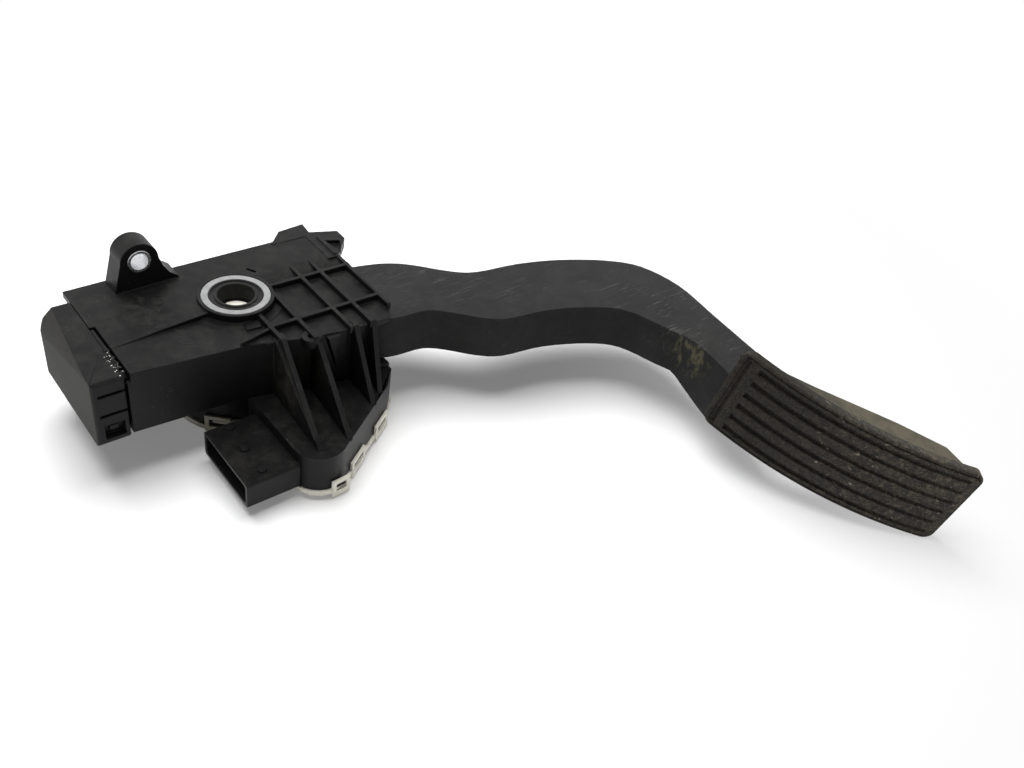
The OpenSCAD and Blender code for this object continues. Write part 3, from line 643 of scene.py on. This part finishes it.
class PedalPadShape(bpy.types.PropertyGroup):
    """Size and finish of the rubber pad cover."""
    length: FloatProperty(name="Length", description="Length of the pad", subtype="DISTANCE",
                          min=0.08, max=0.12, default=0.1064)
    width: FloatProperty(name="Width", description="Width of the pad", subtype="DISTANCE",
                         min=0.03, max=0.05, default=0.0394)
    rise: FloatProperty(name="Rise", description="Rise of the curved face", subtype="DISTANCE",
                        min=0.002, max=0.02, default=0.0096)
    corner: FloatProperty(name="Corner radius", description="Radius of the corners",
                          subtype="DISTANCE", min=0.001, max=0.008, default=0.0042)
    rim_near: FloatProperty(name="Rim at the arm", description="Width of the rim at the arm",
                            subtype="DISTANCE", min=0.001, max=0.005, default=0.003)
    rim_far: FloatProperty(name="Rim at the end", description="Width of the rim at the far end",
                           subtype="DISTANCE", min=0.0005, max=0.003, default=0.0012)
    rim_side: FloatProperty(name="Rim at the sides", description="Width of the rim along the sides",
                            subtype="DISTANCE", min=0.0005, max=0.003, default=0.0015)
    gutter_depth: FloatProperty(name="Gutter depth",
                                description="Depth of the gutter inside the rim",
                                subtype="DISTANCE", min=0, max=0.001, default=0.0007)
    seat_depth: FloatProperty(name="Near gutter depth",
                              description="Depth of the wide gutter behind the bead at the arm",
                              subtype="DISTANCE", min=0, max=0.0018, default=0.0016)
    rim_depth: FloatProperty(name="Rim drop", description="Depth of the rim below the face",
                             subtype="DISTANCE", min=0, max=0.001, default=0.0003)
    grooves: IntProperty(name="Grooves", description="Number of grooves", min=1, max=6, default=6)
    groove_pitch: FloatProperty(name="Groove spacing", description="Distance from groove to groove",
                                subtype="DISTANCE", min=0.003, max=0.0063, default=0.0062)
    groove_width: FloatProperty(name="Groove width", description="Width of a groove",
                                subtype="DISTANCE", min=0.0005, max=0.003, default=0.0022)
    groove_depth: FloatProperty(name="Groove depth", description="Depth of a groove",
                                subtype="DISTANCE", min=0.0003, max=0.0016, default=0.0015)
    brown: FloatVectorProperty(name="Rubber", description="Base colour of the rubber",
                               subtype="COLOR", size=3, min=0, max=1,
                               default=(0.013, 0.0118, 0.0098))
    dust: FloatProperty(name="Dust", description="Strength of the dusty scuffs", subtype="FACTOR",
                        min=0, max=1, default=0.55)


class PedalStageLook(bpy.types.PropertyGroup):
    """Floor, light and camera."""
    floor_z: FloatProperty(name="Floor", description="Height of the floor", subtype="DISTANCE",
                           default=-0.0506)
    floor_colour: FloatVectorProperty(name="Floor colour", description="Colour of the paper",
                                      subtype="COLOR", size=3, min=0, max=1,
                                      default=(0.93, 0.93, 0.93))
    floor_lift: FloatProperty(name="Lift", description="How far the seen floor is drawn to white",
                              subtype="FACTOR", min=0, max=1, default=0.17)
    key: FloatProperty(name="Key light", description="Power of the large light overhead",
                       subtype="POWER", min=0, max=100, default=6.2)
    key_size: FloatProperty(name="Key size", description="Diameter of the key light",
                            subtype="DISTANCE", min=0, max=2, default=0.6)
    side: FloatProperty(name="Side light", description="Power of the lamp at the left",
                        subtype="POWER", min=0, max=100, default=0.2)
    world: FloatProperty(name="World", description="Strength of the light from all round", min=0,
                         max=2, default=0.1)
    lens: FloatProperty(name="Lens", description="Focal length in millimetres on a 36 mm frame",
                        min=20, max=100, default=34.35)


# pieces

def plain(node, material):
    """Gives a CAD node's own mesh a finish."""
    mesh = frame["nodes"][node].data
    mesh.materials.clear()
    mesh.materials.append(material)


class PEDAL_OT_housing(bpy.types.Operator):
    """Housing and end cap with rounded edges."""
    bl_idname = "pedal.housing"
    bl_label = "Housing and end cap"

    def execute(self, context):
        look = context.scene.pedal_housing
        nylon = moulded_nylon(look)
        softened("housing", "housing_moulding", nylon, look.edge / MM)
        softened("end_cap", "end_cap_moulding", nylon, look.edge / MM)
        return {"FINISHED"}


class PEDAL_OT_ears(bpy.types.Operator):
    """Steel sleeves of the mounting ears."""
    bl_idname = "pedal.ears"
    bl_label = "Mounting sleeves"

    def execute(self, context):
        softened("mount_sleeves", "ear_sleeves", bright_steel(), width=0.25)
        return {"FINISHED"}


class PEDAL_OT_bearings(bpy.types.Operator):
    """Bearing rings, hub collar, washer and seals."""
    bl_idname = "pedal.bearings"
    bl_label = "Hub and bearings"

    def execute(self, context):
        grey = bearing_grey()
        softened("upper_bush", "bearing_ring", grey, width=0.25)
        softened("hub_collar", "hub_ring", arm_nylon(context.scene.pedal_arm),
                 width=0.25)
        for node in ("lower_bush", "thrust_washer"):
            plain(node, grey)
        plain("rotor_seal", seal_rubber())
        return {"FINISHED"}


class PEDAL_OT_sensor(bpy.types.Operator):
    """Rotor, magnet, board, pins, cover and its seal."""
    bl_idname = "pedal.sensor"
    bl_label = "Sensor"

    def execute(self, context):
        cream = cream_plastic()
        softened("sensor_cover", "cover_moulding", cream, width=0.2)
        plain("sensor_rotor", cream)
        plain("sensor_magnet", magnet_ferrite())
        plain("circuit_board", board_laminate())
        plain("board_parts", chip_black())
        plain("contact_pins", contact_gold())
        plain("cover_seal", seal_rubber())
        return {"FINISHED"}


class PEDAL_OT_arm(bpy.types.Operator):
    """S-curved arm with its hub, neck and foot plate."""
    bl_idname = "pedal.arm"
    bl_label = "Pedal arm"

    def execute(self, context):
        look = context.scene.pedal_arm
        softened("pedal_arm", "arm_moulding", arm_nylon(look), look.edge / MM,
                 segments=3, angle=40)
        return {"FINISHED"}


class PEDAL_OT_pad(bpy.types.Operator):
    """Grooved rubber cover of the foot plate."""
    bl_idname = "pedal.pad"
    bl_label = "Foot pad"

    def execute(self, context):
        shape = context.scene.pedal_pad
        points, faces = pad_cover_surface(shape)
        piece = new_piece("pad_rubber_cover", points, faces, "pedal", pad_rubber(shape))
        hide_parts("pad_cover")
        return {"FINISHED"}


class PEDAL_OT_springs(bpy.types.Operator):
    """Return springs, friction shoe and rubber stops."""
    bl_idname = "pedal.springs"
    bl_label = "Springs and stops"

    def execute(self, context):
        wire = spring_steel()
        for node, name, diameter, thick, turns in SPRINGS:
            low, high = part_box(node)
            points, faces = coil_surface(diameter, thick, low.x / MM, high.x / MM, turns)
            coil = new_piece(name, points, faces, "housing", wire)
            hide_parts(node)
            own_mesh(coil)
        plain("friction_shoe", bearing_grey())
        rubber = seal_rubber()
        plain("idle_bumper", rubber)
        plain("full_stop_bumper", rubber)
        return {"FINISHED"}


# floor, lamps and camera: places and sizes in metres, the roll in degrees
FLOOR_HALF = 4.0
KEY_AT, SIDE_AT, AIM_AT = (0.04, 0.11, 0.5), (-0.85, 0.15, 0.45), (0.04, -0.04, -0.01)
SIDE_SIZE = 0.7
CAMERA_AT, CAMERA_ROLL = (-0.1414, -0.2932, 0.2272), 10.7
CAMERA_AHEAD, CAMERA_RIGHT = (0.5596, 0.5423, -0.6266), (0.6959, -0.7181, 0.0)


def lay_floor(look):
    """Flat paper under the part."""
    x, y = np.meshgrid([-FLOOR_HALF, FLOOR_HALF], [-FLOOR_HALF, FLOOR_HALF], indexing="ij")
    corners = np.stack([x, y, np.full_like(x, look.floor_z)], -1).reshape(-1, 3)
    mesh = bpy.data.meshes.new("floor")
    mesh.from_pydata(corners.tolist(), [], [[0, 2, 3, 1]])
    mesh.materials.append(floor_paper(look))
    floor = bpy.data.objects.new("floor", mesh)
    bpy.context.scene.collection.objects.link(floor)


def studio(look):
    """Plain white for what the camera or a reflection sees, and a weak light for the rest."""
    world = bpy.data.worlds.new("studio")
    world.use_nodes = True
    sky = Nodes(world.node_tree, "ShaderNodeOutputWorld")
    weak, white = (sky.node("ShaderNodeBackground", {},
                            {"Color": (1, 1, 1, 1), "Strength": strength})
                   for strength in (look.world, 1.0))
    seen = sky.ray("Is Camera Ray", "Is Glossy Ray", "Is Transmission Ray")
    both = sky.node("ShaderNodeMixShader", {}, {0: seen, 1: weak, 2: white})
    sky.feed(sky.output.inputs["Surface"], both)
    bpy.context.scene.world = world


def lamp(name, power, size, at, in_reflections):
    """A round soft lamp aimed at the part."""
    light = bpy.data.lights.new(name, "AREA")
    light.energy = power
    light.shape = "DISK"
    light.size = size
    lit = bpy.data.objects.new(name, light)
    lit.visible_glossy = in_reflections
    bpy.context.scene.collection.objects.link(lit)
    aim = (Vector(AIM_AT) - Vector(at)).to_track_quat("-Z", "Y")
    lit.matrix_world = Matrix.Translation(at) @ aim.to_matrix().to_4x4()


def camera(look):
    """The camera where the photograph was taken, turned about its own axis by the roll."""
    lens = bpy.data.cameras.new("camera")
    lens.lens = look.lens
    lens.sensor_width = 36.0
    lens.clip_start = 0.01
    eye = bpy.data.objects.new("camera", lens)
    bpy.context.scene.collection.objects.link(eye)
    ahead, right = Vector(CAMERA_AHEAD).normalized(), Vector(CAMERA_RIGHT).normalized()
    up = right.cross(ahead)
    roll = math.radians(CAMERA_ROLL)
    across = right * math.cos(roll) + up * math.sin(roll)
    upward = up * math.cos(roll) - right * math.sin(roll)
    turn = Matrix((across, upward, -ahead)).transposed().to_4x4()
    eye.matrix_world = Matrix.Translation(CAMERA_AT) @ turn
    bpy.context.scene.camera = eye


class PEDAL_OT_stage(bpy.types.Operator):
    """Pale floor, soft lamps and the camera at the photograph's angle."""
    bl_idname = "pedal.stage"
    bl_label = "Stage"

    def execute(self, context):
        look = context.scene.pedal_stage
        lay_floor(look)
        studio(look)
        lamp("overhead", look.key, look.key_size, KEY_AT, False)
        lamp("left", look.side, SIDE_SIZE, SIDE_AT, True)
        camera(look)
        context.scene.view_settings.view_transform = "Standard"
        return {"FINISHED"}


class PEDAL_PT_panel(bpy.types.Panel):
    """The pedal's pieces and settings in the sidebar."""
    bl_label = "Accelerator pedal"
    bl_idname = "PEDAL_PT_panel"
    bl_space_type = "VIEW_3D"
    bl_region_type = "UI"
    bl_category = "Pedal"

    def draw(self, context):
        for operator in OPERATORS:
            self.layout.operator(operator.bl_idname)
        for name in SETTINGS:
            group = getattr(context.scene, name)
            box = self.layout.box()
            for key in group.__annotations__:
                box.prop(group, key)


SETTINGS = {
    "pedal_housing": PedalHousingLook,
    "pedal_arm": PedalArmLook,
    "pedal_pad": PedalPadShape,
    "pedal_stage": PedalStageLook,
}
OPERATORS = (PEDAL_OT_stage, PEDAL_OT_housing, PEDAL_OT_ears, PEDAL_OT_bearings, PEDAL_OT_sensor,
             PEDAL_OT_arm, PEDAL_OT_pad, PEDAL_OT_springs)


def register():
    """Adds the settings, the operators and the panel to Blender."""
    for group in SETTINGS.values():
        bpy.utils.register_class(group)
    for name, group in SETTINGS.items():
        setattr(bpy.types.Scene, name, PointerProperty(type=group))
    for cls in OPERATORS + (PEDAL_PT_panel,):
        bpy.utils.register_class(cls)


def unregister():
    """Takes them out again."""
    for cls in (PEDAL_PT_panel,) + OPERATORS[::-1]:
        bpy.utils.unregister_class(cls)
    for name, group in SETTINGS.items():
        delattr(bpy.types.Scene, name)
        bpy.utils.unregister_class(group)


def main():
    """Makes the stage and every piece."""
    register()
    for operator in OPERATORS:
        section, action = operator.bl_idname.split(".")
        getattr(getattr(bpy.ops, section), action)()
    bpy.context.view_layer.update()


if __name__ == "__main__":
    main()
